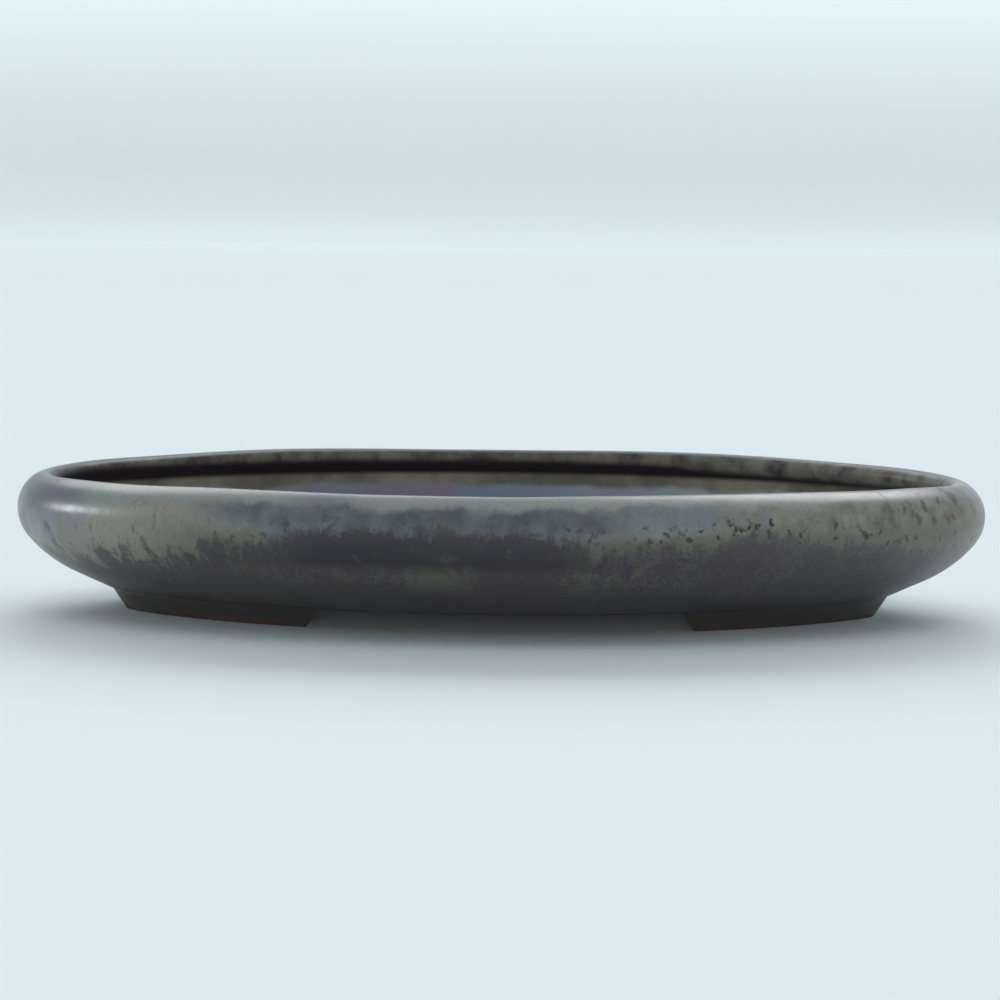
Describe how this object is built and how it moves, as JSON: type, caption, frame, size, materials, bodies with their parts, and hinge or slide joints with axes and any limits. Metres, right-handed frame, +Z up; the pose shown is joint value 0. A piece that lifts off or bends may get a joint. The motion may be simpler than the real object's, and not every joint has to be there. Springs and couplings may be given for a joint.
{
  "type": "bonsai pot",
  "caption": "Shallow oval glazed bonsai tray with a bulging wall, rolled-in lip, cut feet, wire holes and screened drain holes.",
  "frame": {"origin": "on the ground under the middle of the tray, in the plane of the feet's bottoms", "axes": "+X along the tray's length to its right end, +Y to the back, +Z up"},
  "size_m": [0.27, 0.205, 0.0378],
  "materials": {
    "glaze": "mottled satin glaze, olive green over slate blue and dark purple-brown, with pinholes and flecks",
    "bare_clay": "unglazed dark reddish-brown stoneware, matt and slightly gritty",
    "screen_plastic": "black moulded plastic mesh, satin",
    "clip_wire": "drawn aluminium wire, dull"
  },
  "bodies": {
    "root": {"tray_wall": "glaze", "tray_floor": "bare_clay", "foot_front_left": "glaze", "foot_front_right": "glaze", "foot_back_left": "glaze", "foot_back_right": "glaze", "drain_screen_left": "screen_plastic", "drain_screen_right": "screen_plastic", "screen_clip_left": "clip_wire", "screen_clip_right": "clip_wire"}
  },
  "joints": []
}
